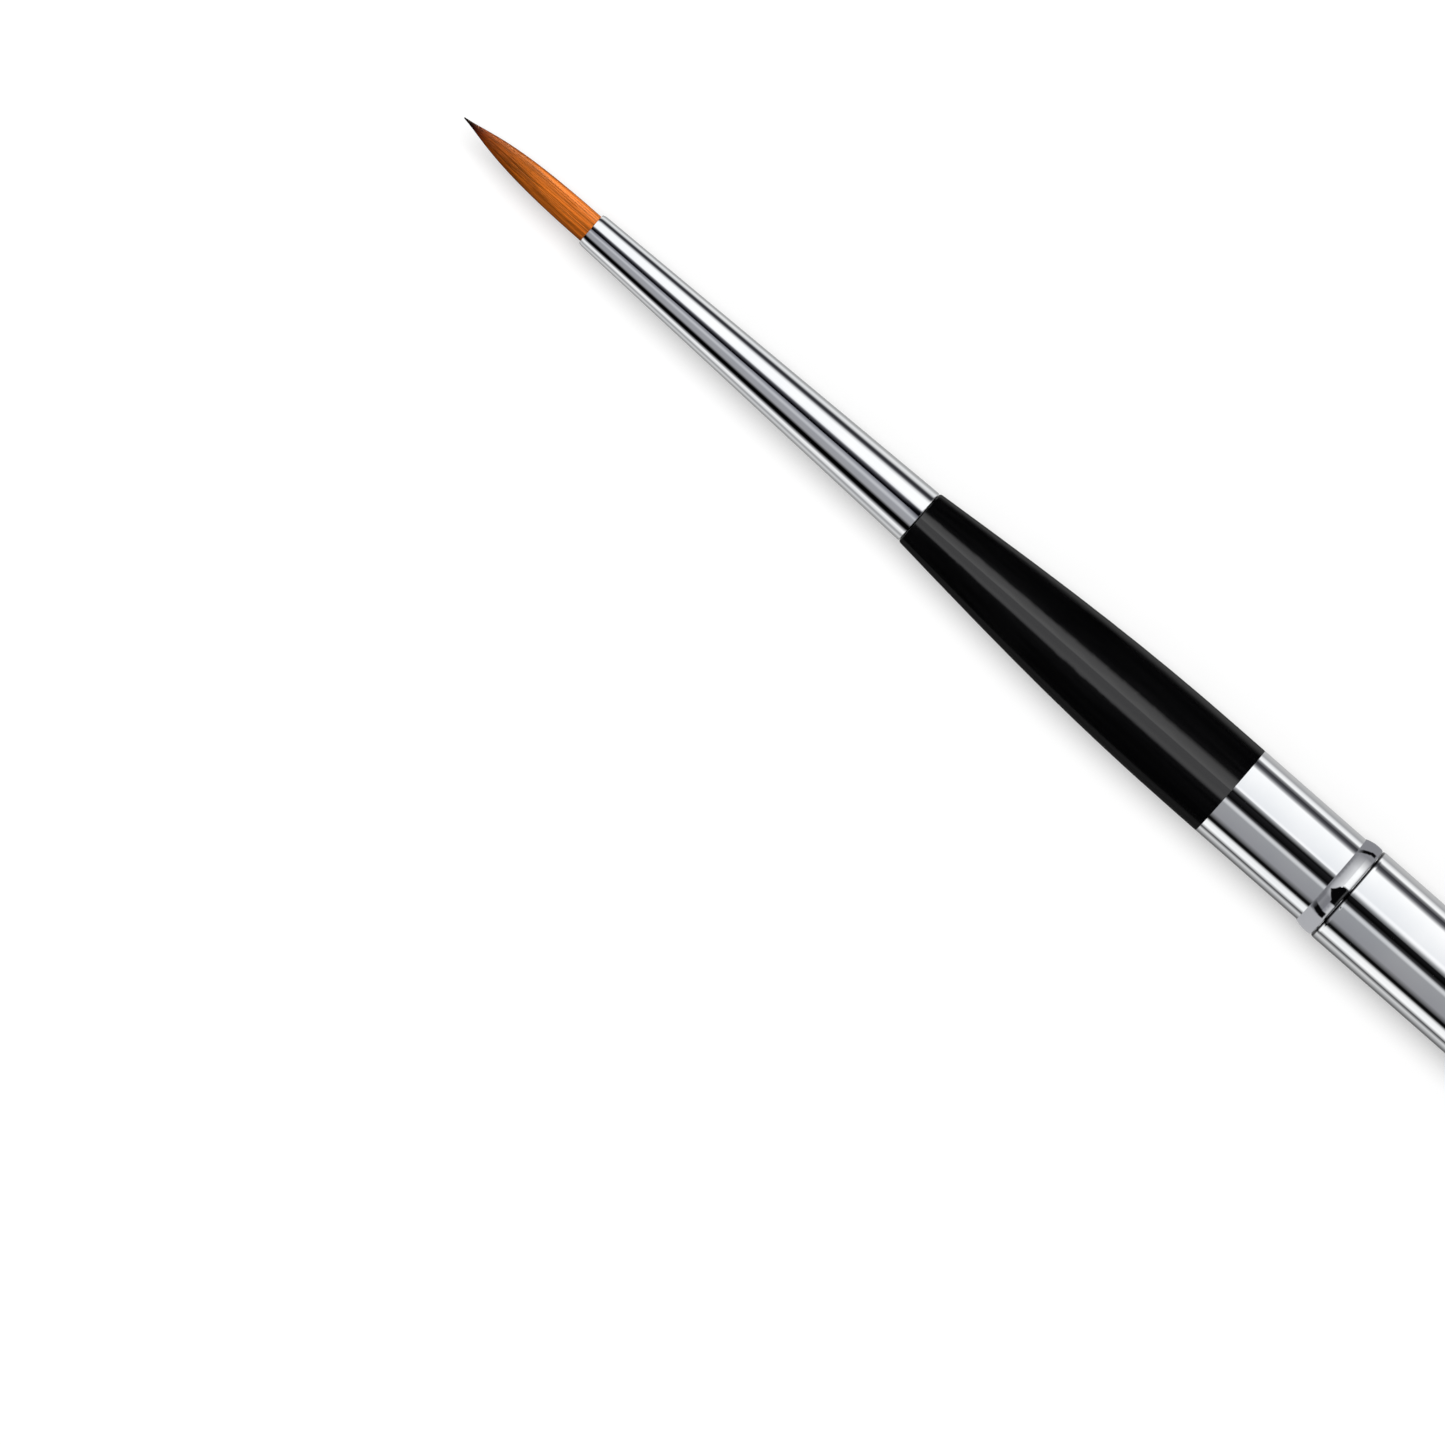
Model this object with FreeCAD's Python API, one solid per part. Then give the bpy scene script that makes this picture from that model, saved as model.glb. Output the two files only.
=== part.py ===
import FreeCAD, Part
import math
import os

# A pocket detail brush, lying along X with its point towards -X. Sizes are in millimetres.
# The head (tuft, ferrule, grip and coupling sleeve) plugs into the mouth of the handle tube.
# Pulled out, turned end for end and pushed back in, the head is stored inside the same tube.
# Every piece is a turned shape, drawn with (u, r): u runs along the brush from the point of
# the tuft, and r is the distance from the brush's axis.

# Tuft
tuft_out = 13.6              # hair showing ahead of the ferrule
tuft_diameter = 2.6
tuft_point_diameter = 0.1
tuft_level = 0.6             # length of the full diameter, just ahead of the ferrule
tuft_root = 9.0              # hair hidden in the ferrule
root_swell_length = 3.0      # the hidden hair spreads to the ferrule's bore over this length

# Thread that binds the roots
thread_diameter = 0.14
thread_turns = 7
binding_from_root_end = 3.0  # from the last turn to the cut ends of the hair

# Resin that holds the roots
resin_ahead = 2.6            # up over the roots
resin_behind = 3.5           # past their cut ends

# Ferrule
ferrule_length = 35.2
ferrule_rear_diameter = 5.0
ferrule_wall = 0.23
ferrule_lip_drop = 0.15      # the lip rolls in by this much
ferrule_lip_length = 0.5     # over this length
ferrule_rear_round = 0.1

# Grip
grip_length = 33.4
grip_level = 2.5             # length of the full diameter, just ahead of the sleeve
grip_front_step = 0.05       # how far the front shoulder stands proud of the ferrule
grip_front_round = 0.4
grip_front_tenon = 12.0
grip_rear_tenon = 15.0
tenon_chamfer = 0.4

# Coupling sleeve and the stop collar on it
sleeve_wall = 0.6
sleeve_front = 10.85         # bright band between the grip and the stop collar
spigot_length = 12.0         # behind the collar, inside the handle tube
collar_width = 1.65
collar_front_edge = 0.04     # how far the collar's front edge stands off the sleeve
collar_crown_from_front = 1.0
collar_rear_drop = 0.14      # how far its rear edge lies below its crown

# Plug in the sleeve's rear end
plug_stem = 4.0
plug_rim = 0.4
plug_dome = 0.9
plug_edge_round = 0.3
plug_inset = 0.1             # the plug's edge lies this far inside the sleeve's, to lead it in

# Handle tube
tube_diameter = 9.0
tube_wall = 0.23             # along the seat behind the mouth
tube_relief = 0.03           # the bore is this much wider, on the radius, past the seat
tube_lip_drop = 0.16         # the mouth's edge rolls in by this much
tube_lip_length = 0.4        # over this length
storage_room = 9.6           # left past the point of the tuft when the head is stored

# Cap in the handle tube's far end
cap_stem = 5.0
cap_rim = 1.2
cap_dome = 1.4
cap_edge_round = 0.7
vent_diameter = 1.2          # lets a stored tuft dry

# Clearances, on the radius or between faces
slide_clearance = 0.02       # coupling sleeve in the handle tube
hair_clearance = 0.02        # hair in the ferrule
seat_gap = 0.02              # glued and pressed seats
butt_gap = 0.03              # stop collar to the handle tube's mouth

# Radii that follow from the fits
tuft_radius = tuft_diameter / 2
lip_radius = tuft_radius + hair_clearance + ferrule_wall
ferrule_rear_radius = ferrule_rear_diameter / 2
shoulder_radius = ferrule_rear_radius + grip_front_step
tube_radius = tube_diameter / 2
tube_bore = tube_radius - tube_wall
relief_bore = tube_bore + tube_relief
sleeve_radius = tube_bore - slide_clearance
sleeve_bore = sleeve_radius - sleeve_wall
tenon_radius = sleeve_bore - seat_gap

# Stations along the brush
ferrule_start = tuft_out
ferrule_end = ferrule_start + ferrule_length
root_end = ferrule_start + tuft_root
grip_end = ferrule_end + grip_length
collar_start = grip_end + sleeve_front
collar_end = collar_start + collar_width
sleeve_end = collar_end + spigot_length
tube_start = collar_end + butt_gap
tube_end = tube_start + collar_start + storage_room + cap_stem
cap_start = tube_end + seat_gap
overall_length = cap_start + cap_rim + cap_dome

# The brush rests on the handle tube, with the middle of its length over the origin
middle = overall_length / 2
along = FreeCAD.Vector(1, 0, 0)


def point(u, r):
    return FreeCAD.Vector(u - middle, 0, tube_radius + r)


def straight(*stations):
    """Straight edges from each (u, r) station to the next."""
    points = [point(u, r) for u, r in stations]
    return [Part.LineSegment(a, b).toShape() for a, b in zip(points, points[1:])]


def arc(first, through, last):
    """A circular edge through three (u, r) stations."""
    return Part.Arc(point(*first), point(*through), point(*last)).toShape()


def smooth(*poles):
    """A Bezier edge drawn by its (u, r) poles."""
    curve = Part.BezierCurve()
    curve.setPoles([point(u, r) for u, r in poles])
    return curve.toShape()


def rolled_lip(start, edge_radius, end, side_radius):
    """A Bezier edge that leaves a lip's face square and runs out level into the side."""
    rise = side_radius - edge_radius
    return smooth(
        (start, edge_radius),
        (start, edge_radius + 0.6 * rise),
        (start + 0.4 * (end - start), side_radius),
        (end, side_radius),
    )


def turned(edges):
    """The solid made by turning a closed outline about the brush's axis."""
    outline = Part.Wire(Part.__sortEdges__(edges))
    return Part.Face(outline).revolve(point(0, 0), along, 360)


def rims(solid, u, r):
    """The circular edges of a solid at station u with radius r."""
    edges = [edge for edge in solid.Edges if not edge.Degenerated]
    circles = [edge for edge in edges if isinstance(edge.Curve, Part.Circle)]
    at_station = [edge for edge in circles if abs(edge.Curve.Center.x - point(u, 0).x) < 1e-6]
    return [edge for edge in at_station if abs(edge.Curve.Radius - r) < 1e-6]


def rounded(solid, u, r, radius):
    return solid.makeFillet(radius, rims(solid, u, r)).Solids[0]


def chamfered(solid, u, r, size):
    return solid.makeChamfer(size, rims(solid, u, r)).Solids[0]


def ferrule_bore(u):
    """The ferrule's inside radius at station u."""
    share = (u - ferrule_start) / ferrule_length
    return lip_radius + share * (ferrule_rear_radius - lip_radius) - ferrule_wall


root_radius = ferrule_bore(ferrule_start + root_swell_length) - hair_clearance
thread_radius = thread_diameter / 2
thread_pitch = thread_diameter + seat_gap
waist_radius = root_radius - thread_diameter - 2 * seat_gap
binding_end = root_end - binding_from_root_end
binding_start = binding_end - thread_turns * thread_pitch - seat_gap


def hair_tuft():
    """The bundle of hair as one body: a fine point, a full belly, and the bound roots."""
    tip = tuft_point_diameter / 2
    taper = tuft_out - tuft_level
    side = smooth(
        (0, tip),
        (0.16 * taper, 0.22 * tuft_radius),
        (0.29 * taper, tuft_radius),
        (taper, tuft_radius),
    )
    rest = straight(
        (taper, tuft_radius),
        (ferrule_start, tuft_radius),
        (ferrule_start + root_swell_length, root_radius),
        (binding_start, root_radius),
        (binding_start, waist_radius),
        (binding_end, waist_radius),
        (binding_end, root_radius),
        (root_end, root_radius),
        (root_end, 0),
        (0, 0),
        (0, tip),
    )
    return turned([side, *rest])


def root_binding():
    """Turns of waxed thread, each drawn as a closed ring, in the waist that they pull in."""
    turn_radius = waist_radius + seat_gap + thread_radius
    first = binding_start + seat_gap + thread_radius
    return Part.makeCompound([
        Part.makeTorus(turn_radius, thread_radius, point(first + turn * thread_pitch, 0), along)
        for turn in range(thread_turns)
    ])


def root_resin():
    """A cup of hard resin round the roots, cast against the ferrule's bore."""
    start = root_end - resin_ahead
    floor = root_end + seat_gap
    end = root_end + resin_behind
    inside = root_radius + seat_gap
    return turned(straight(
        (start, inside),
        (start, ferrule_bore(start) - seat_gap),
        (end, ferrule_bore(end) - seat_gap),
        (end, 0),
        (floor, 0),
        (floor, inside),
        (start, inside),
    ))


def ferrule():
    """A seamless drawn cone with a rolled lip where the hair comes out."""
    lip_end = ferrule_start + ferrule_lip_length
    edge = rolled_lip(
        ferrule_start, lip_radius - min(ferrule_lip_drop, 0.8 * ferrule_wall),
        lip_end, ferrule_bore(lip_end) + ferrule_wall,
    )
    cone = turned([edge, *straight(
        (lip_end, ferrule_bore(lip_end) + ferrule_wall),
        (ferrule_end, ferrule_rear_radius),
        (ferrule_end, ferrule_bore(ferrule_end)),
        (ferrule_start, ferrule_bore(ferrule_start)),
        (ferrule_start, lip_radius - min(ferrule_lip_drop, 0.8 * ferrule_wall)),
    )])
    return rounded(cone, ferrule_end, ferrule_rear_radius, min(ferrule_rear_round, 0.9 * ferrule_wall))


def grip():
    """The black grip: a tapered tenon for the ferrule, an ogive side, and a straight tenon."""
    front = ferrule_end + seat_gap
    front_tenon = ferrule_end - grip_front_tenon
    rear_tenon = grip_end + grip_rear_tenon
    taper = grip_length - grip_level
    swell = sleeve_radius - shoulder_radius
    side = smooth(
        (front, shoulder_radius),
        (ferrule_end + 0.35 * taper, shoulder_radius + 0.56 * swell),
        (ferrule_end + 0.62 * taper, sleeve_radius),
        (ferrule_end + taper, sleeve_radius),
    )
    rest = straight(
        (ferrule_end + taper, sleeve_radius),
        (grip_end, sleeve_radius),
        (grip_end, tenon_radius),
        (rear_tenon, tenon_radius),
        (rear_tenon, 0),
        (front_tenon, 0),
        (front_tenon, ferrule_bore(front_tenon) - seat_gap),
        (front, ferrule_bore(front) - seat_gap),
        (front, shoulder_radius),
    )
    body = turned([side, *rest])
    shoulder_depth = shoulder_radius - ferrule_bore(front) + seat_gap
    body = rounded(body, front, shoulder_radius, min(grip_front_round, 0.9 * shoulder_depth))
    body = chamfered(body, front_tenon, ferrule_bore(front_tenon) - seat_gap, tenon_chamfer)
    return chamfered(body, rear_tenon, tenon_radius, tenon_chamfer)


def coupling_sleeve():
    """The bright sleeve behind the grip, which seats in the handle tube either way round."""
    start = grip_end + seat_gap
    return turned(straight(
        (start, sleeve_bore),
        (start, sleeve_radius),
        (sleeve_end, sleeve_radius),
        (sleeve_end, sleeve_bore),
        (start, sleeve_bore),
    ))


def stop_collar():
    """A beaded ring pressed on the sleeve, for the handle tube's mouth to butt against."""
    inside = sleeve_radius + seat_gap
    edge = sleeve_radius + collar_front_edge
    rise = tube_radius - edge
    crown = collar_start + collar_crown_from_front
    rear = collar_end - crown
    front_side = smooth(
        (collar_start, edge),
        (collar_start + 0.1 * collar_crown_from_front, edge + 0.3 * rise),
        (collar_start + 0.66 * collar_crown_from_front, tube_radius),
        (crown, tube_radius),
    )
    rear_side = smooth(
        (crown, tube_radius),
        (crown + 0.55 * rear, tube_radius),
        (crown + 0.95 * rear, tube_radius),
        (collar_end, tube_radius - collar_rear_drop),
    )
    return turned([front_side, rear_side, *straight(
        (collar_end, tube_radius - collar_rear_drop),
        (collar_end, inside),
        (collar_start, inside),
        (collar_start, edge),
    )])


def domed_end(start, radius, rim, dome, edge_round, stem, stem_radius, hole):
    """A stopper with its rim at station start: a stem ahead of it, a low dome behind."""
    sphere = (radius ** 2 + dome ** 2) / (2 * dome)

    def crown(r):
        return start + rim + dome - sphere + math.sqrt(sphere ** 2 - r ** 2)

    middle_radius = (radius + hole) / 2
    shape = turned([
        arc((crown(radius), radius), (crown(middle_radius), middle_radius), (crown(hole), hole)),
        *straight(
            (crown(hole), hole),
            (start - stem, hole),
            (start - stem, stem_radius),
            (start, stem_radius),
            (start, radius),
            (crown(radius), radius),
        ),
    ])
    return rounded(shape, start + rim, radius, edge_round)


def spigot_plug():
    """Closes the coupling sleeve, and is the brush's butt while the head is stored."""
    return domed_end(
        sleeve_end + seat_gap, sleeve_radius - plug_inset, plug_rim, plug_dome,
        plug_edge_round, plug_stem, tenon_radius, 0,
    )


def handle_tube():
    """The drawn tube: a close seat behind the mouth, then a wider bore as far as the cap."""
    seat_end = tube_start + spigot_length
    lip_end = tube_start + tube_lip_length
    edge_radius = tube_radius - min(tube_lip_drop, 0.8 * tube_wall)
    return turned([rolled_lip(tube_start, edge_radius, lip_end, tube_radius), *straight(
        (lip_end, tube_radius),
        (tube_end, tube_radius),
        (tube_end, relief_bore),
        (seat_end, relief_bore),
        (seat_end, tube_bore),
        (tube_start, tube_bore),
        (tube_start, edge_radius),
    )])


def tail_cap():
    """Closes the handle tube's far end, but for the vent."""
    return domed_end(
        cap_start, tube_radius, cap_rim, cap_dome,
        cap_edge_round, cap_stem, relief_bore - seat_gap, vent_diameter / 2,
    )


pieces = [
    hair_tuft, root_binding, root_resin, ferrule, grip,
    coupling_sleeve, stop_collar, spigot_plug, handle_tube, tail_cap,
]
os.makedirs("parts", exist_ok=True)
for make in pieces:
    piece = make()
    piece.exportStep(f"parts/{make.__name__}.step")
    state = "valid" if piece.isValid() else "not valid"
    print(f"{make.__name__:16} {len(piece.Solids)} solid, {state} {piece.Volume:9.3f} mm3")
print(f"overall length {overall_length:.2f} mm")
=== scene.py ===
import math

import bpy
import numpy as np
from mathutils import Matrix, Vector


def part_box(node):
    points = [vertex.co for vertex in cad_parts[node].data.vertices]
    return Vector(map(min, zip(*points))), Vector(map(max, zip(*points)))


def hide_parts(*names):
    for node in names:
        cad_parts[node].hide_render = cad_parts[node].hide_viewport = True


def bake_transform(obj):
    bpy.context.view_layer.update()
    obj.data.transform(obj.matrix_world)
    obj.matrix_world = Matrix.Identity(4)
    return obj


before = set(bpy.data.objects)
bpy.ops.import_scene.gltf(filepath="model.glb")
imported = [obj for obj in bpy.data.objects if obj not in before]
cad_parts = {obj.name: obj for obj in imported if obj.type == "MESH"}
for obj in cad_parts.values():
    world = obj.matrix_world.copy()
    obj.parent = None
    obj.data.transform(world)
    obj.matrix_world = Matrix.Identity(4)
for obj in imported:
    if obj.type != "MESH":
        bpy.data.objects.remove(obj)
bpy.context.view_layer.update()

# A fine detail brush lying on a white table: plated tubes, a gloss black grip and a pointed hair tuft.
# Everything is in metres. The brush runs along X, its point towards -X, and rests on the table at z = 0.

tubeLow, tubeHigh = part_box("handle_tube")
axisHeight = (tubeLow[2] + tubeHigh[2]) / 2
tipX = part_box("hair_tuft")[0][0]
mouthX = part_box("ferrule")[0][0]
print("brush: frame loaded,", len(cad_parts), "CAD nodes")


def toLinear(code):
    # sRGB hex to linear: c / 12.92 below 0.04045, else ((c + 0.055) / 1.055) ^ 2.4
    srgb = np.array([int(code[i:i + 2], 16) for i in (0, 2, 4)]) / 255
    linear = np.where(srgb <= 0.04045, srgb / 12.92, ((srgb + 0.055) / 1.055) ** 2.4)
    return (*linear.tolist(), 1.0)


def addNode(tree, kind, settings=None, links=None):
    # settings are properties or input values, ramp is a list of (place, hex), links are input: (node, output)
    node = tree.nodes.new(kind)
    for key, value in (settings or {}).items():
        if key == "ramp":
            stops = node.color_ramp.elements
            while len(stops) < len(value):
                stops.new(0.5)
            for stop, (place, code) in zip(stops, value):
                stop.position = place
                stop.color = toLinear(code)
        elif isinstance(key, int) or key in node.inputs:
            node.inputs[key].default_value = value
        else:
            setattr(node, key, value)
    for key, (source, output) in (links or {}).items():
        tree.links.new(source.outputs[output], node.inputs[key])
    return node


def newMaterial(name):
    material = bpy.data.materials.new(name)
    material.use_nodes = True
    material.node_tree.nodes.clear()
    return material, material.node_tree


def putMesh(name, points, faces, material):
    mesh = bpy.data.meshes.new(name)
    mesh.from_pydata(points.tolist(), [], faces)
    mesh.shade_smooth()
    mesh.update()
    mesh.materials.append(material)
    piece = bpy.data.objects.new(name, mesh)
    bpy.context.scene.collection.objects.link(piece)
    return piece


def gridFaces(rows, columns, wrap):
    # quads between neighbours of a rows x columns grid; wrap joins the last column to the first
    row, column = np.meshgrid(np.arange(rows - 1), np.arange(columns if wrap else columns - 1), indexing="ij")
    after = (column + 1) % columns
    here, below = row * columns, (row + 1) * columns
    return np.stack([here + column, here + after, below + after, below + column], -1).reshape(-1, 4)


# Camera straight above the table, with a long lens so the sides stay parallel.
cameraLook = {"middle": (-0.05467, -0.0229), "side": 0.1165, "turn": 41.3, "lens": 600.0, "sensor": 36.0,
              "near": 0.05, "far": 10.0}

cameraData = bpy.data.cameras.new("camera")
cameraData.lens = cameraLook["lens"]
cameraData.sensor_width = cameraLook["sensor"]
cameraData.clip_start = cameraLook["near"]
cameraData.clip_end = cameraLook["far"]
camera = bpy.data.objects.new("camera", cameraData)
cameraDistance = cameraLook["side"] * cameraLook["lens"] / cameraLook["sensor"]
camera.location = (*cameraLook["middle"], axisHeight + cameraDistance)
camera.rotation_euler = (0, 0, math.radians(cameraLook["turn"]))
bpy.context.scene.collection.objects.link(camera)
bpy.context.scene.camera = camera
bpy.context.scene.view_settings.view_transform = "Standard"
print("brush: camera set")


# Bright chrome plate on drawn brass tube: a mirror with a faint lengthwise grain left by the drawing die.
drawnChrome = {
    "plate": "F4F5F6", "film": "E9ECEF", "filmPatch": 0.006, "rough": (0.020, 0.050),
    "along": 0.018, "across": 0.00024, "relief": 0.0000016,
}
# The handle tube's front lip is toned down with painted shade, so that the seam against the collar reads as a
# dark shadow line.
tubeChrome = {**drawnChrome, "seamAt": tubeLow[0], "seamWide": 0.00019, "seamSoft": 0.00005,
              "seamShadeGrey": "161618"}
# Bright chrome plate on turned brass: the same mirror over faint rings left by the lathe tool.
turnedChrome = {
    "plate": "F4F5F6", "film": "E8EBEE", "filmPatch": 0.006, "rough": (0.022, 0.055),
    "along": 0.00016, "across": 0.004, "relief": 0.0000016,
}


def chromePlate(name, look):
    # Two noises: one stretched along the grain, one of 6 mm patches like the film that handling leaves.
    # A look with seamAt is also toned to its painted seam-shade grey from there over seamWide along X.
    material, tree = newMaterial(name)
    place = addNode(tree, "ShaderNodeTexCoord")
    grainScale = (1 / look["along"], 1 / look["across"], 1 / look["across"])
    grainPlace = addNode(tree, "ShaderNodeMapping", {"Scale": grainScale}, {"Vector": (place, "Object")})
    grain = addNode(tree, "ShaderNodeTexNoise", {"Scale": 1.0, "Detail": 2.0}, {"Vector": (grainPlace, 0)})
    film = addNode(tree, "ShaderNodeTexNoise", {"Scale": 1 / look["filmPatch"], "Detail": 4.0},
                   {"Vector": (place, "Object")})
    tint = addNode(tree, "ShaderNodeValToRGB", {"ramp": [(0.35, look["plate"]), (0.75, look["film"])]},
                   {"Fac": (film, 0)})
    colour = (tint, 0)
    if "seamAt" in look:
        split = addNode(tree, "ShaderNodeSeparateXYZ", None, {"Vector": (place, "Object")})
        seamEnd = look["seamAt"] + look["seamWide"]
        clean = addNode(tree, "ShaderNodeMapRange",
                        {"From Min": seamEnd - look["seamSoft"], "From Max": seamEnd + look["seamSoft"]},
                        {"Value": (split, 0)})
        # painted shade: the lip's plate colour is mixed to the dark seam grey
        seam = addNode(tree, "ShaderNodeMix", {"data_type": "RGBA", 6: toLinear(look["seamShadeGrey"])},
                       {0: (clean, 0), 7: (tint, 0)})
        colour = (seam, 2)
    mixed = addNode(tree, "ShaderNodeMath", {"operation": "MULTIPLY"}, {0: (grain, 0), 1: (film, 0)})
    rough = addNode(tree, "ShaderNodeMapRange",
                    {"From Min": 0.1, "From Max": 0.45,
                     "To Min": look["rough"][0], "To Max": look["rough"][1]},
                    {"Value": (mixed, 0)})
    relief = addNode(tree, "ShaderNodeBump", {"Strength": 0.25, "Distance": look["relief"]},
                     {"Height": (grain, 0)})
    shader = addNode(tree, "ShaderNodeBsdfPrincipled", {"Metallic": 1.0},
                     {"Base Color": colour, "Roughness": (rough, 0), "Normal": (relief, 0)})
    addNode(tree, "ShaderNodeOutputMaterial", None, {"Surface": (shader, 0)})
    return material


# Black lacquer sprayed on a turned wooden grip and polished: deep black under a clear gloss skin.
blackLacquer = {
    "black": "040405", "worn": "0A0A0B", "skinRough": 0.07,
    "peel": 0.0011, "peelHeight": 0.000004, "marksPerMetre": (60.0, 2600.0, 2600.0),
}


def lacquer(name, look):
    # The skin has a very low orange peel about 1.1 mm across and a few soft polishing marks.
    material, tree = newMaterial(name)
    place = addNode(tree, "ShaderNodeTexCoord")
    peel = addNode(tree, "ShaderNodeTexNoise", {"Scale": 1 / look["peel"], "Detail": 1.0},
                   {"Vector": (place, "Object")})
    wipePlace = addNode(tree, "ShaderNodeMapping", {"Scale": look["marksPerMetre"]},
                        {"Vector": (place, "Object")})
    wipe = addNode(tree, "ShaderNodeTexNoise", {"Scale": 1.0, "Detail": 3.0}, {"Vector": (wipePlace, 0)})
    tint = addNode(tree, "ShaderNodeValToRGB", {"ramp": [(0.4, look["black"]), (0.8, look["worn"])]},
                   {"Fac": (wipe, 0)})
    rough = addNode(tree, "ShaderNodeMapRange",
                    {"From Min": 0.3, "From Max": 0.7, "To Min": 0.28, "To Max": 0.4},
                    {"Value": (wipe, 0)})
    relief = addNode(tree, "ShaderNodeBump", {"Strength": 0.2, "Distance": look["peelHeight"]},
                     {"Height": (peel, 0)})
    shader = addNode(tree, "ShaderNodeBsdfPrincipled",
                     {"IOR": 1.5, "Specular IOR Level": 0.1, "Coat Weight": 1.0,
                      "Coat Roughness": look["skinRough"], "Coat IOR": 1.5},
                     {"Base Color": (tint, 0), "Roughness": (rough, 0), "Normal": (relief, 0),
                      "Coat Normal": (relief, 0)})
    addNode(tree, "ShaderNodeOutputMaterial", None, {"Surface": (shader, 0)})
    return material


chromeDrawn = chromePlate("chromePlatedDrawnTube", drawnChrome)
chromeTurned = chromePlate("chromePlatedTurnedBrass", turnedChrome)
gripLacquer = lacquer("polishedBlackLacquer", blackLacquer)
print("brush: plate and lacquer made")


# Waxed linen thread, wound round the root of the hair: dull, off-white, with a fine two-ply twist.
waxedThread = {"thread": "CDBE9C", "shadow": "8F7D5A", "ply": 0.00018, "fuzz": 0.00002}


def threadMaterial(name, look):
    # Slanted bands with a little fuzz stand for the ply, several times as coarse as the real 0.18 mm twist.
    material, tree = newMaterial(name)
    place = addNode(tree, "ShaderNodeTexCoord")
    twist = addNode(tree, "ShaderNodeTexWave",
                    {"wave_type": "BANDS", "bands_direction": "DIAGONAL", "Scale": 0.05 / look["ply"],
                     "Distortion": 1.5, "Detail": 2.0}, {"Vector": (place, "Object")})
    tint = addNode(tree, "ShaderNodeValToRGB", {"ramp": [(0.1, look["shadow"]), (0.7, look["thread"])]},
                   {"Fac": (twist, 0)})
    relief = addNode(tree, "ShaderNodeBump", {"Strength": 0.5, "Distance": look["fuzz"]},
                     {"Height": (twist, 1)})
    shader = addNode(tree, "ShaderNodeBsdfPrincipled", {"Roughness": 0.7, "Sheen Weight": 0.2},
                     {"Base Color": (tint, 0), "Normal": (relief, 0)})
    addNode(tree, "ShaderNodeOutputMaterial", None, {"Surface": (shader, 0)})
    return material


# Cast epoxy that locks the hair roots into the ferrule: honey coloured, glossy, with a few fine bubbles.
rootResin = {"resin": "C79A4C", "cloud": "A87830", "cloudPatch": 0.0015, "bubble": 0.0002, "pit": 0.00003}


def resinMaterial(name, look):
    # Cloudy colour over 1.5 mm, and round 0.2 mm pits where bubbles broke the surface.
    material, tree = newMaterial(name)
    place = addNode(tree, "ShaderNodeTexCoord")
    cloud = addNode(tree, "ShaderNodeTexNoise", {"Scale": 1 / look["cloudPatch"], "Detail": 3.0},
                    {"Vector": (place, "Object")})
    bubble = addNode(tree, "ShaderNodeTexVoronoi", {"Scale": 0.4 / look["bubble"]},
                     {"Vector": (place, "Object")})
    pit = addNode(tree, "ShaderNodeMapRange", {"From Min": 0.05, "From Max": 0.25}, {"Value": (bubble, 0)})
    tint = addNode(tree, "ShaderNodeValToRGB", {"ramp": [(0.3, look["cloud"]), (0.7, look["resin"])]},
                   {"Fac": (cloud, 0)})
    relief = addNode(tree, "ShaderNodeBump", {"Strength": 0.4, "Distance": look["pit"]}, {"Height": (pit, 0)})
    rough = addNode(tree, "ShaderNodeMapRange", {"To Min": 0.35, "To Max": 0.12}, {"Value": (pit, 0)})
    shader = addNode(tree, "ShaderNodeBsdfPrincipled", {"IOR": 1.55},
                     {"Base Color": (tint, 0), "Roughness": (rough, 0), "Normal": (relief, 0)})
    addNode(tree, "ShaderNodeOutputMaterial", None, {"Surface": (shader, 0)})
    return material


finishes = {
    "ferrule": chromeDrawn,
    "coupling_sleeve": chromeDrawn,
    "handle_tube": chromePlate("chromePlatedHandleTube", tubeChrome),
    "stop_collar": chromeTurned,
    "spigot_plug": chromeTurned,
    "tail_cap": chromeTurned,
    "grip": gripLacquer,
    "root_binding": threadMaterial("waxedLinenThread", waxedThread),
    "root_resin": resinMaterial("castEpoxy", rootResin),
}
for nodeName, finish in finishes.items():
    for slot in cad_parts[nodeName].material_slots:
        slot.material = finish
print("brush: finishes put on", len(finishes), "CAD nodes")


# The tuft: every hair modelled from inside the ferrule to the point.
hairTuft = {
    "count": 860, "rings": 22, "sides": 3, "seed": 5,
    "hairRadius": 0.000058, "radiusSpread": 0.5, "endThinning": 0.93, "rootDepth": 0.0024,
    "outLength": mouthX - tipX, "taperLength": 0.0130, "bellyRadius": 0.00130, "pointRadius": 0.00005,
    "pointHandle": (0.16, 0.22), "bellyHandle": 0.29, "goldenTurn": 137.5077,
    "drift": 0.10, "wobble": 0.035, "swayTurn": 6.3, "reachSpread": 0.08, "shortHairs": 0.0030,
}


def tuftOutline(behindTip, look):
    # radius of the bundle at a distance behind the tip: a cubic Bezier from point to belly, then level
    t = np.linspace(0, 1, 240)
    a, b, c, d = (1 - t) ** 3, 3 * t * (1 - t) ** 2, 3 * t ** 2 * (1 - t), t ** 3
    length, belly = look["taperLength"], look["bellyRadius"]
    pointAlong, pointOut = look["pointHandle"]
    along = length * (pointAlong * b + look["bellyHandle"] * c + d)
    out = look["pointRadius"] * a + pointOut * belly * b + belly * (c + d)
    return np.interp(behindTip, along, out)


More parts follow.
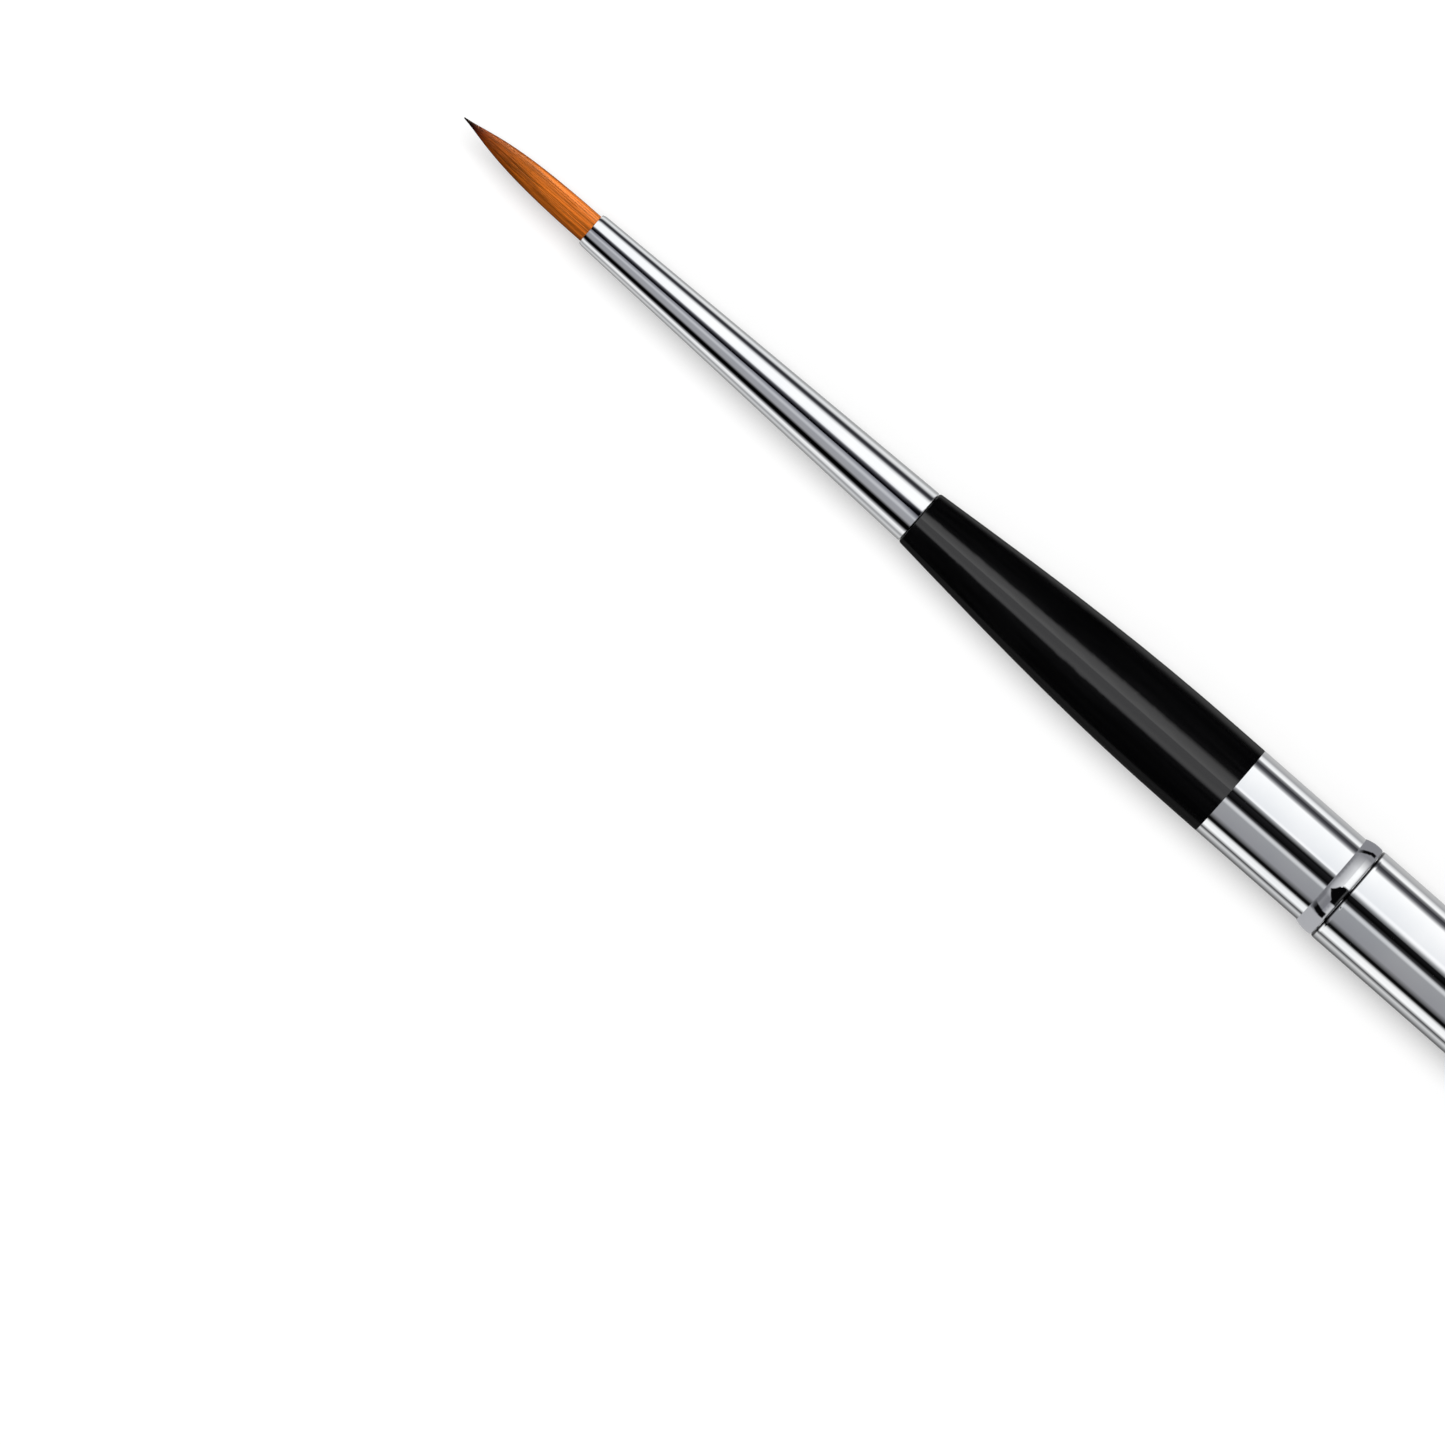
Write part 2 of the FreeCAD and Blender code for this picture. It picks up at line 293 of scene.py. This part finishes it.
def hairBundle(look):
    # Hair i keeps its share of the bundle's outline, the square root of (i + 0.5) / count, at a sunflower
    # angle that drifts and sways a little along the hair. From root (s = 0) to end (s = 1) its own radius
    # shrinks with 1 - endThinning x s^3. Most hairs end close to the point, a few up to shortHairs behind it.
    rng = np.random.default_rng(look["seed"])
    count, rings, sides = look["count"], look["rings"], look["sides"]
    i = np.arange(count)
    share = np.sqrt((i + 0.5) / count)
    angle = i * math.radians(look["goldenTurn"])
    s = np.linspace(0, 1, rings)[None, :]
    endAt = look["shortHairs"] * rng.random(count) ** 3
    rootAt = look["outLength"] + look["rootDepth"]
    behind = rootAt + (endAt[:, None] - rootAt) * s
    spread = look["radiusSpread"]
    thick = look["hairRadius"] * (1 - spread / 2 + spread * rng.random(count))
    size = thick[:, None] * (1.0 - look["endThinning"] * s ** 3)
    room = np.maximum(tuftOutline(behind, look) - size, 0.0)
    swing = look["swayTurn"] * s * (0.6 + rng.random(count))[:, None]
    sway = look["wobble"] * np.sin(swing + look["swayTurn"] * rng.random(count)[:, None])
    turn = angle[:, None] + look["drift"] * (rng.random(count) - 0.5)[:, None] * s + sway * s
    stray = look["reachSpread"] * (rng.random(count)[:, None] - 0.4) * s
    reach = room * np.minimum(share[:, None] * (1 + stray), 1.0)
    side = (np.arange(sides) / sides * 2 * math.pi)[None, None, :] + turn[:, :, None]
    outY, outZ = np.sin(turn)[:, :, None] + 0 * side, np.cos(turn)[:, :, None] + 0 * side
    x = np.broadcast_to((tipX + behind)[:, :, None], side.shape)
    y = reach[:, :, None] * outY + size[:, :, None] * np.sin(side)
    z = axisHeight + reach[:, :, None] * outZ + size[:, :, None] * np.cos(side)
    points = np.stack([x, y, z], -1).reshape(-1, 3)
    one = gridFaces(rings, sides, True)
    base = (i * rings * sides)[:, None, None]
    walls = (one[None] + base).reshape(-1, 4)
    around = np.arange(sides)
    rootCap = around[::-1][None] + base[:, :, 0]
    endCap = around[None] + (rings - 1) * sides + base[:, :, 0]
    tone = np.repeat(rng.random(count), rings * sides)
    out = np.stack([np.zeros_like(side), outY, outZ], -1)
    return points, walls.tolist() + rootCap.tolist() + endCap.tolist(), tone, out.reshape(-1, 3)


# Dyed soft hair with natural scales: a silky amber shaft, red-brown by the point, almost black at the tip.
tuftHair = {
    "shaft": [(0.00, "080608"), (0.05, "120608"), (0.08, "340C0A"), (0.11, "5C1E0A"), (0.15, "7C300A"),
              (0.20, "8C3E0C"), (0.29, "9C4A0E"), (0.45, "AE5810"), (0.64, "C4661A"), (0.80, "CC6A1C"),
              (1.00, "CC6A1C")],
    "length": 0.014, "streakLong": 0.0065, "streakWide": 0.00022, "dark": 0.55, "bright": 1.45, "bundle": 0.7,
    # edge is the painted shade level at the outline, reached over the facing span listed after it
    "toneShare": 0.22, "contrast": (0.42, 0.84), "edge": 0.32, "outlineShadeSpan": (0.3, 0.95),
}


def hairMaterial(name, look):
    # Colour runs along the hair from the tip; streaks and each hair's own tone shift it darker or lighter.
    # hairPlace is the spot measured from the tip on the straight brush, stored on each hair's points, so the
    # pattern stays with the hair.
    # The shading slope leans towards the side of the bundle that a hair lies on, as packed wet hair does.
    # Towards the outline the eye looks in between hairs that shade each other; Layer Weight paints that shade
    # into the colour there, wherever the eye is.
    material, tree = newMaterial(name)
    place = addNode(tree, "ShaderNodeAttribute", {"attribute_name": "hairPlace"})
    split = addNode(tree, "ShaderNodeSeparateXYZ", None, {"Vector": (place, "Vector")})
    along = addNode(tree, "ShaderNodeMapRange", {"From Min": 0.0, "From Max": look["length"]},
                    {"Value": (split, 0)})
    shaft = addNode(tree, "ShaderNodeValToRGB", {"ramp": look["shaft"]}, {"Fac": (along, 0)})
    tone = addNode(tree, "ShaderNodeAttribute", {"attribute_name": "hairTone"})
    streakScale = (1 / look["streakLong"], 1 / look["streakWide"], 1 / look["streakWide"])
    streakPlace = addNode(tree, "ShaderNodeMapping", {"Scale": streakScale}, {"Vector": (place, "Vector")})
    streak = addNode(tree, "ShaderNodeTexNoise", {"Scale": 1.0, "Detail": 2.0}, {"Vector": (streakPlace, 0)})
    both = addNode(tree, "ShaderNodeMath", {"operation": "MULTIPLY_ADD", 1: look["toneShare"]},
                   {0: (tone, "Fac"), 2: (streak, 0)})
    value = addNode(tree, "ShaderNodeMapRange",
                    {"From Min": look["contrast"][0], "From Max": look["contrast"][1],
                     "To Min": look["dark"], "To Max": look["bright"]},
                    {"Value": (both, 0)})
    side = addNode(tree, "ShaderNodeAttribute", {"attribute_name": "hairSide"})
    own = addNode(tree, "ShaderNodeNewGeometry")
    lean = addNode(tree, "ShaderNodeMix", {"data_type": "VECTOR", 0: look["bundle"]},
                   {4: (own, "Normal"), 5: (side, "Vector")})
    slope = addNode(tree, "ShaderNodeVectorMath", {"operation": "NORMALIZE"}, {0: (lean, 1)})
    # painted shade: the colour darkens towards the outline as the surface turns away from the eye
    facing = addNode(tree, "ShaderNodeLayerWeight", {"Blend": 0.5}, {"Normal": (slope, 0)})
    outlineShade = addNode(tree, "ShaderNodeMapRange",
                    {"From Min": look["outlineShadeSpan"][0], "From Max": look["outlineShadeSpan"][1],
                     "To Min": 1.0, "To Max": look["edge"]},
                    {"Value": (facing, "Facing")})
    level = addNode(tree, "ShaderNodeMath", {"operation": "MULTIPLY"}, {0: (value, 0), 1: (outlineShade, 0)})
    shade = addNode(tree, "ShaderNodeHueSaturation", {"Saturation": 1.0},
                    {"Value": (level, 0), "Color": (shaft, 0)})
    rough = addNode(tree, "ShaderNodeMapRange", {"To Min": 0.36, "To Max": 0.52}, {"Value": (streak, 0)})
    shader = addNode(tree, "ShaderNodeBsdfPrincipled",
                     {"IOR": 1.55, "Specular IOR Level": 0.4, "Specular Tint": toLinear("FFC896")},
                     {"Base Color": (shade, 0), "Roughness": (rough, 0), "Normal": (slope, 0)})
    addNode(tree, "ShaderNodeOutputMaterial", None, {"Surface": (shader, 0)})
    return material


hairPoints, hairFaces, hairTone, hairSide = hairBundle(hairTuft)
tuft = putMesh("tuftHairs", hairPoints, hairFaces, hairMaterial("softAmberHair", tuftHair))
toneAttribute = tuft.data.attributes.new("hairTone", "FLOAT", "POINT")
toneAttribute.data.foreach_set("value", hairTone.astype(np.float32))
hairPlace = hairPoints - np.array([tipX, 0, axisHeight])
for attributeName, values in (("hairSide", hairSide), ("hairPlace", hairPlace)):
    attribute = tuft.data.attributes.new(attributeName, "FLOAT_VECTOR", "POINT")
    attribute.data.foreach_set("vector", values.astype(np.float32).ravel())
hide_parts("hair_tuft")
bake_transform(tuft)
print("brush: tuft of", hairTuft["count"], "hairs,", len(hairFaces), "faces")


# White table. Part of its light is a plain glow for the eye, so the brush's shadow on it stays soft.
table = {"paint": "D8D8D8", "glow": 0.357, "half": 4.0, "tooth": 0.004}


def tableMaterial(name, look):
    material, tree = newMaterial(name)
    path = addNode(tree, "ShaderNodeLightPath")
    place = addNode(tree, "ShaderNodeTexCoord")
    tooth = addNode(tree, "ShaderNodeTexNoise", {"Scale": 1 / look["tooth"], "Detail": 2.0},
                    {"Vector": (place, "Object")})
    rough = addNode(tree, "ShaderNodeMapRange", {"To Min": 0.0, "To Max": 0.2}, {"Value": (tooth, 0)})
    strength = addNode(tree, "ShaderNodeMath", {"operation": "MULTIPLY", 1: look["glow"]},
                       {0: (path, "Is Camera Ray")})
    paint = addNode(tree, "ShaderNodeBsdfDiffuse", {"Color": toLinear(look["paint"])},
                    {"Roughness": (rough, 0)})
    glow = addNode(tree, "ShaderNodeEmission", {"Color": toLinear("FFFFFF")}, {"Strength": (strength, 0)})
    both = addNode(tree, "ShaderNodeAddShader", None, {0: (paint, 0), 1: (glow, 0)})
    addNode(tree, "ShaderNodeOutputMaterial", None, {"Surface": (both, 0)})
    return material


half = table["half"]
tableCorners = np.array([[-half, -half, 0], [half, -half, 0], [half, half, 0], [-half, half, 0]])
tableTop = putMesh("tableTop", tableCorners, [[0, 1, 2, 3]], tableMaterial("mattWhiteTable", table))
tableTop.visible_glossy = False  # reflections show the tents' lower bands instead


# Lighting tents seen in reflections alone, one per kind of piece: strip lights, black card and white cloth in
# bands along the brush. A spot on a tent is named by the slope of the mirror that shows it to an eye
# straight above. Lean is that mirror's turn in degrees towards +Y, and a band is (twice the lean, grey).
# Tilt is the sine of its turn towards +X.
tubeTent = {
    "radius": 4.0, "strength": 1.12,
    "bands": [(-180, "8C8C8C"), (-157, "606060"), (-147, "8A8A8B"), (-129, "CDCDCD"), (-118, "343436"),
              (-106, "F8F8F8"), (-92, "F0F0F0"), (-88, "BEBEBE"), (-84, "141414"), (-77, "020202"),
              (-71, "646466"), (-63, "909094"), (-30, "97989B"), (-26, "C8C9CB"), (-22, "CCCDCF"),
              (-17, "404042"), (-13, "020202"), (-3, "202022"), (2, "020202"), (8, "060607"),
              (11.5, "A0A1A3"), (14.5, "FDFDFE"), (20, "EBECEE"), (76, "FEFEFE"), (82, "A4A4A6"),
              (88, "525256"), (96, "303034"), (104, "808082"), (110, "F8F8F8"), (118, "EEEEEE"),
              (129, "A2A2A4"), (146, "B4B4B4")],
    "lipFrom": -0.75, "lipTo": -0.95, "lipWithin": 90.0, "lipGrey": "8C8C8E", "endGrey": "C4C4C6",
}
ferruleTent = {
    "radius": 4.05, "strength": 1.12,
    "bands": [(-180, "9A9A9A"), (-157, "8E8E8E"), (-141, "A4A4A4"), (-128, "CECECE"), (-110, "949496"),
              (-99, "E0E0E0"), (-88, "F4F4F4"), (-80, "A4A4A6"), (-73, "303032"), (-69, "020202"),
              (-55, "020202"), (-50, "5C5C5E"), (-44, "98989C"), (-25, "9A9BA0"), (-17, "C0C1C5"),
              (-12, "8C8D94"), (-6, "3C3C44"), (-1, "050508"), (14, "06060A"), (19, "4A4A50"),
              (26, "F0F0F2"), (34, "FEFEFE"), (63, "FEFEFE"), (72, "D4D4D5"), (80, "545458"),
              (90, "1E1E22"), (98, "565659"), (106, "C8C8C8"), (118, "E8E8E8"), (140, "A4A4A4")],
    "lipFrom": -0.75, "lipTo": -0.95, "lipWithin": 90.0, "lipGrey": "8C8C8E", "endGrey": "C4C4C6",
}
gripTent = {
    "radius": 4.1, "strength": 1.8,
    "bands": [(-180, "1E1E1E"), (-136, "282828"), (-122, "3C3C3C"), (-112, "000000"), (-31, "000000"),
              (-26, "C4C4C6"), (-22, "D9D9DA"), (-13, "C4C4C6"), (-4, "C6C6C8"), (2, "E2E2E3"),
              (7, "FFFFFF"), (12, "E0E0E1"), (22, "D0D0D1"), (26, "A0A0A0"), (31, "000000"),
              (108, "000000"), (118, "141414"), (125, "484848"), (134, "5C5C5C"), (144, "545454"),
              (156, "404040")],
    "lipFrom": -0.55, "lipTo": -0.80, "lipWithin": 90.0, "lipGrey": "101010", "endGrey": "101010",
}
beadTent = {
    "radius": 4.15, "strength": 1.12,
    "above": [(-0.70, "B6B6B8"), (-0.45, "98989B"), (-0.39, "808084"), (-0.326, "78787C"),
              (-0.276, "909093"), (-0.225, "AEAEB1"), (-0.151, "C2C2C4"), (-0.087, "D2D2D4"),
              (-0.030, "E0E0E1"), (0.010, "F6F6F6"), (0.040, "FEFEFE"), (0.150, "FAFAFA"),
              (0.260, "E6E6E7"), (0.500, "A0A0A2"), (0.750, "464648"), (0.970, "202022")],
    "below": [(-0.70, "B8B8BA"), (-0.45, "A2A2A5"), (-0.39, "8E8E92"), (-0.326, "6E6E72"),
              (-0.250, "727276"), (-0.200, "86868A"), (-0.120, "7A7A7E"), (-0.030, "7C7C82"),
              (0.010, "84848A"), (0.040, "929297"), (0.096, "B4B4B7"), (0.180, "CACACC"), (0.300, "B6B6B8"),
              (0.500, "626264"), (0.750, "303032")],
    "far": "ABABAE", "high": "86868A", "dark": "060607",
    "belowSpan": (-8.0, -16.0), "highSpan": (26.0, 45.0), "farSpan": (-38.5, -41.0),
    "wedge": (-8.0, 12.0, -0.25, 0.0, 0.26), "wedgeSoft": 1.5, "wedgeFade": (0.12, 0.93),
    "lower": (-36.0, 4.0, -10.7), "upper": (54.8, 3.0, 24.0),
    "lineSoft": 0.8, "lineStart": (-0.40, -0.20), "lineStop": (0.28, 0.14),
}


def mirrorSlope(tree, radius):
    # unit slope of the mirror = this spot of the tent plus (0, 0, radius), scaled to length 1
    place = addNode(tree, "ShaderNodeTexCoord")
    raised = addNode(tree, "ShaderNodeVectorMath", {"operation": "ADD", 1: (0, 0, radius)},
                     {0: (place, "Object")})
    unit = addNode(tree, "ShaderNodeVectorMath", {"operation": "NORMALIZE"}, {0: (raised, 0)})
    split = addNode(tree, "ShaderNodeSeparateXYZ", None, {"Vector": (unit, 0)})
    turn = addNode(tree, "ShaderNodeMath", {"operation": "ARCTAN2"}, {0: (split, 1), 1: (split, 2)})
    lean = addNode(tree, "ShaderNodeMath", {"operation": "DEGREES"}, {0: (turn, 0)})
    return split, lean


def seeThroughGlow(tree, colour, strength):
    # the glow adds to what lies behind, so a ray meant for one tent passes through the others
    glow = addNode(tree, "ShaderNodeEmission", {"Strength": strength}, {"Color": colour})
    clear = addNode(tree, "ShaderNodeBsdfTransparent")
    both = addNode(tree, "ShaderNodeAddShader", None, {0: (glow, 0), 1: (clear, 0)})
    addNode(tree, "ShaderNodeOutputMaterial", None, {"Surface": (both, 0)})


tentFade = {"lipSoft": 3.0, "lipBeyond": 0.25, "endFrom": 0.55, "endTo": 0.95}


def tentMaterial(name, look, fade):
    # bands by lean; the lip grey comes in as tilt falls past lipFrom, the end grey as tilt rises past endFrom
    material, tree = newMaterial(name)
    tilt, lean = mirrorSlope(tree, look["radius"])
    part = addNode(tree, "ShaderNodeMapRange", {"From Min": -90.0, "From Max": 90.0}, {"Value": (lean, 0)})
    stops = [((degrees + 180) / 360, code) for degrees, code in look["bands"]]
    bands = addNode(tree, "ShaderNodeValToRGB", {"ramp": stops}, {"Fac": (part, 0)})
    lipTilt = addNode(tree, "ShaderNodeMapRange",
                      {"From Min": look["lipFrom"], "From Max": look["lipTo"],
                       "interpolation_type": "SMOOTHSTEP"},
                      {"Value": (tilt, 0)})
    away = addNode(tree, "ShaderNodeMath", {"operation": "ABSOLUTE"}, {0: (lean, 0)})
    within = addNode(tree, "ShaderNodeMapRange",
                     {"From Min": look["lipWithin"] - fade["lipSoft"],
                      "From Max": look["lipWithin"] + fade["lipSoft"],
                      "To Min": 1.0, "To Max": fade["lipBeyond"]},
                     {"Value": (away, 0)})
    lipShare = addNode(tree, "ShaderNodeMath", {"operation": "MULTIPLY"}, {0: (lipTilt, 0), 1: (within, 0)})
    lipped = addNode(tree, "ShaderNodeMix", {"data_type": "RGBA", 7: toLinear(look["lipGrey"])},
                     {0: (lipShare, 0), 6: (bands, 0)})
    endShare = addNode(tree, "ShaderNodeMapRange",
                       {"From Min": fade["endFrom"], "From Max": fade["endTo"],
                        "interpolation_type": "SMOOTHSTEP"},
                       {"Value": (tilt, 0)})
    ended = addNode(tree, "ShaderNodeMix", {"data_type": "RGBA", 7: toLinear(look["endGrey"])},
                    {0: (endShare, 0), 6: (lipped, 2)})
    seeThroughGlow(tree, (ended, 2), look["strength"])
    return material


def beadMaterial(name, look):
    # Grey to white along the bead above a lean of about -12, dimmer below it, flat greys past -41 and 45.
    # Over that a dark wedge: its lean, half width, and the tilts where it starts, is full and has faded by
    # 7 percent. Then two dark lines: lean at no tilt, half width, and how much the lean grows with tilt.
    material, tree = newMaterial(name)
    tilt, lean = mirrorSlope(tree, look["radius"])
    spanEnds = ("From Min", "From Max")
    share = addNode(tree, "ShaderNodeMapRange", {"From Min": -1.0, "From Max": 1.0}, {"Value": (tilt, 0)})
    above = addNode(tree, "ShaderNodeValToRGB", {"ramp": [((t + 1) / 2, code) for t, code in look["above"]]},
                    {"Fac": (share, 0)})
    below = addNode(tree, "ShaderNodeValToRGB", {"ramp": [((t + 1) / 2, code) for t, code in look["below"]]},
                    {"Fac": (share, 0)})
    isBelow = addNode(tree, "ShaderNodeMapRange", dict(zip(spanEnds, look["belowSpan"])),
                      {"Value": (lean, 0)})
    lower = addNode(tree, "ShaderNodeMix", {"data_type": "RGBA"},
                    {0: (isBelow, 0), 6: (above, 0), 7: (below, 0)})
    isHigh = addNode(tree, "ShaderNodeMapRange", dict(zip(spanEnds, look["highSpan"])), {"Value": (lean, 0)})
    upper = addNode(tree, "ShaderNodeMix", {"data_type": "RGBA", 7: toLinear(look["high"])},
                    {0: (isHigh, 0), 6: (lower, 2)})
    isFar = addNode(tree, "ShaderNodeMapRange", dict(zip(spanEnds, look["farSpan"])), {"Value": (lean, 0)})
    plain = addNode(tree, "ShaderNodeMix", {"data_type": "RGBA", 7: toLinear(look["far"])},
                    {0: (isFar, 0), 6: (upper, 2)})
    wedgeLean, wedgeHalf, wedgeStart, wedgeFull, wedgeEnd = look["wedge"]
    half = addNode(tree, "ShaderNodeMapRange",
                   {"From Min": wedgeStart, "From Max": wedgeFull, "To Max": wedgeHalf},
                   {"Value": (tilt, 0)})
    offset = addNode(tree, "ShaderNodeMath", {"operation": "SUBTRACT", 1: wedgeLean}, {0: (lean, 0)})
    off = addNode(tree, "ShaderNodeMath", {"operation": "ABSOLUTE"}, {0: (offset, 0)})
    inside = addNode(tree, "ShaderNodeMath", {"operation": "SUBTRACT"}, {0: (half, 0), 1: (off, 0)})
    wedgeSide = addNode(tree, "ShaderNodeMapRange", {"From Min": 0.0, "From Max": look["wedgeSoft"]},
                        {"Value": (inside, 0)})
    fadeWide, fadeLeft = look["wedgeFade"]
    wedgeFade = addNode(tree, "ShaderNodeMapRange",
                        {"From Min": wedgeEnd, "From Max": wedgeEnd - fadeWide, "To Min": fadeLeft},
                        {"Value": (tilt, 0)})
    dark = addNode(tree, "ShaderNodeMath", {"operation": "MULTIPLY"}, {0: (wedgeSide, 0), 1: (wedgeFade, 0)})
    for centre, halfWidth, slope in (look["lower"], look["upper"]):
        middle = addNode(tree, "ShaderNodeMapRange",
                         {"From Min": -0.5, "From Max": 0.0, "To Min": centre - 0.5 * slope,
                          "To Max": centre},
                         {"Value": (tilt, 0)})
        aside = addNode(tree, "ShaderNodeMath", {"operation": "SUBTRACT"}, {0: (lean, 0), 1: (middle, 0)})
        distance = addNode(tree, "ShaderNodeMath", {"operation": "ABSOLUTE"}, {0: (aside, 0)})
        line = addNode(tree, "ShaderNodeMapRange",
                       {"From Min": halfWidth + look["lineSoft"], "From Max": halfWidth - look["lineSoft"]},
                       {"Value": (distance, 0)})
        lineStart = addNode(tree, "ShaderNodeMapRange", dict(zip(spanEnds, look["lineStart"])),
                            {"Value": (tilt, 0)})
        lineStop = addNode(tree, "ShaderNodeMapRange", dict(zip(spanEnds, look["lineStop"])),
                           {"Value": (tilt, 0)})
        started = addNode(tree, "ShaderNodeMath", {"operation": "MULTIPLY"},
                          {0: (line, 0), 1: (lineStart, 0)})
        kept = addNode(tree, "ShaderNodeMath", {"operation": "MULTIPLY"}, {0: (started, 0), 1: (lineStop, 0)})
        dark = addNode(tree, "ShaderNodeMath", {"operation": "MAXIMUM"}, {0: (dark, 0), 1: (kept, 0)})
    colour = addNode(tree, "ShaderNodeMix", {"data_type": "RGBA", 7: toLinear(look["dark"])},
                     {0: (dark, 0), 6: (plain, 2)})
    seeThroughGlow(tree, (colour, 2), look["strength"])
    return material


tentBall = {"rings": 73, "columns": 120, "poleGap": 0.01}


def tentSurface(look, ball):
    # a ball whose poles lie on X, facing in: x = R cos a, and R sin a turned by b all the way about the brush
    rings, columns, gap, radius = ball["rings"], ball["columns"], ball["poleGap"], look["radius"]
    around = np.radians(np.arange(columns) * 360 / columns)
    a, b = np.meshgrid(np.linspace(gap, math.pi - gap, rings), around, indexing="ij")
    grid = np.stack([radius * np.cos(a), radius * np.sin(a) * np.sin(b), radius * np.sin(a) * np.cos(b)], -1)
    return grid.reshape(-1, 3), gridFaces(rings, columns, True).tolist()


def putTent(name, look, material, receivers):
    # only the receivers' reflections see it: it casts no shadow and throws no light on the table
    points, faces = tentSurface(look, tentBall)
    dome = putMesh(name, points, faces, material)
    material.cycles.emission_sampling = "NONE"
    dome.visible_camera = False
    dome.visible_diffuse = False
    dome.visible_shadow = False
    dome.visible_transmission = False
    dome.visible_volume_scatter = False
    receiving = bpy.data.collections.new(name + "Pieces")
    for piece in receivers:
        receiving.objects.link(piece)
    dome.light_linking.receiver_collection = receiving


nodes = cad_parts
tubePieces = [nodes["handle_tube"], nodes["coupling_sleeve"], nodes["tail_cap"], nodes["spigot_plug"]]
headPieces = [nodes["ferrule"], nodes["root_binding"], nodes["root_resin"]]
putTent("tubeTent", tubeTent, tentMaterial("tubeStrips", tubeTent, tentFade), tubePieces)
putTent("ferruleTent", ferruleTent, tentMaterial("ferruleStrips", ferruleTent, tentFade), headPieces)
putTent("beadTent", beadTent, beadMaterial("beadStrips", beadTent), [nodes["stop_collar"]])
putTent("gripTent", gripTent, tentMaterial("gripStrips", gripTent, tentFade), [nodes["grip"]])

print("brush: table and tents up")


# Plain studio light: an even room, a very soft lamp almost overhead, and a low one at +Y for the tuft alone.
lamps = {"room": 0.365, "soft": 0.685, "softTurn": 8.0, "softSize": 34.0, "tuft": 0.95, "tuftTurn": 65.0}


def softSun(name, level, turn):
    # energy = level x pi gives a white card that faces the lamp the brightness level
    data = bpy.data.lights.new(name, "SUN")
    data.energy = level * math.pi
    data.angle = math.radians(lamps["softSize"])
    lamp = bpy.data.objects.new(name, data)
    lamp.rotation_euler = (math.radians(-turn), 0, 0)
    bpy.context.scene.collection.objects.link(lamp)
    return lamp


softLamp = softSun("softLamp", lamps["soft"] / math.cos(math.radians(lamps["softTurn"])), lamps["softTurn"])
softLamp.visible_glossy = False
tuftLamp = softSun("tuftLamp", lamps["tuft"], lamps["tuftTurn"])
tuftOnly = bpy.data.collections.new("tuftOnly")
tuftOnly.objects.link(tuft)
tuftLamp.light_linking.receiver_collection = tuftOnly
bpy.context.scene.cycles.caustics_reflective = False

# The room is white to the eye, its own level to matt surfaces, and black in reflections, left to the tents.
world = bpy.data.worlds.new("studioRoom")
world.use_nodes = True
worldTree = world.node_tree
worldTree.nodes.clear()
worldPath = addNode(worldTree, "ShaderNodeLightPath")
worldSeen = addNode(worldTree, "ShaderNodeMapRange", {"To Min": lamps["room"], "To Max": 1.0},
                    {"Value": (worldPath, "Is Camera Ray")})
worldLevel = addNode(worldTree, "ShaderNodeMapRange", {"To Max": 0.0},
                     {"Value": (worldPath, "Is Glossy Ray"), "To Min": (worldSeen, 0)})
worldGlow = addNode(worldTree, "ShaderNodeBackground", {"Color": toLinear("FFFFFF")},
                    {"Strength": (worldLevel, 0)})
addNode(worldTree, "ShaderNodeOutputWorld", None, {"Surface": (worldGlow, 0)})
bpy.context.scene.world = world
print("brush: lamps on")
